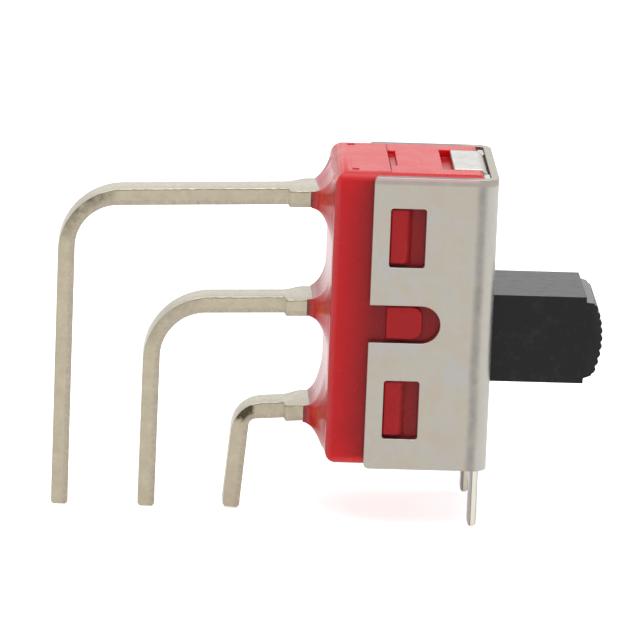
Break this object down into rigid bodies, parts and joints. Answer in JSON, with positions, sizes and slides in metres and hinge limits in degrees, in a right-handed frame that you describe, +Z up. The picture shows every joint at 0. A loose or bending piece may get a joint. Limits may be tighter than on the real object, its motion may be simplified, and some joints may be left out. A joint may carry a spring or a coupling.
{
  "type": "slide switch",
  "caption": "Miniature slide switch with a ribbed knob in an upright red case, a folded steel cover, bent leads and a pinned support bracket for a circuit board.",
  "frame": {"origin": "on the board surface, midway between the two pins of the support bracket, at the lower edge of the bracket's plate", "axes": "+X out of the cover along the knob, +Y across the switch, +Z up along the slide's travel"},
  "size_m": [0.0232, 0.0066, 0.0155],
  "materials": {
    "red_moulding": "satin",
    "stainless_sheet": "matte, lightly worn",
    "tin_plate": "bright plated",
    "black_nylon": "matte",
    "spring_wire": "drawn",
    "brass_parts": "turned",
    "tin_plate_leads": "dull plated",
    "silver_contacts": "bright",
    "epoxy": "glossy"
  },
  "bodies": {
    "housing": {"case": "red_moulding", "housing_cover": "stainless_sheet", "support_bracket": "tin_plate", "terminal_upper": "tin_plate_leads", "terminal_middle": "tin_plate_leads", "terminal_lower": "tin_plate_leads", "silver_contact_upper": "silver_contacts", "silver_contact_lower": "silver_contacts", "epoxy_seal": "epoxy"},
    "slide": {"actuator": "black_nylon", "detent_spring": "spring_wire"},
    "plunger": {"plunger": "brass_parts"},
    "contact_arm": {"contact_arm": "brass_parts"}
  },
  "joints": [
    {"name": "slide_travel", "type": "slide", "parent": "housing", "child": "slide", "axis": [0, 0, 1], "range_m": [0, 0.00156]},
    {"name": "plunger_travel", "type": "slide", "parent": "slide", "child": "plunger", "axis": [1, 0, 0], "range_m": [0, 0.0003], "stiffness_N_per_m": 400, "springref_m": -0.0005, "deforming": ["detent_spring"]},
    {"name": "contact_arm_pivot", "type": "hinge", "parent": "housing", "child": "contact_arm", "pos_m": [-0.00346, 0, 0.0072], "axis": [0, 1, 0], "range_deg": [-10, 0]}
  ],
  "couplings": [
    {"joint": "contact_arm_pivot", "follows": "slide_travel", "rad_per_m": -111.8}
  ]
}
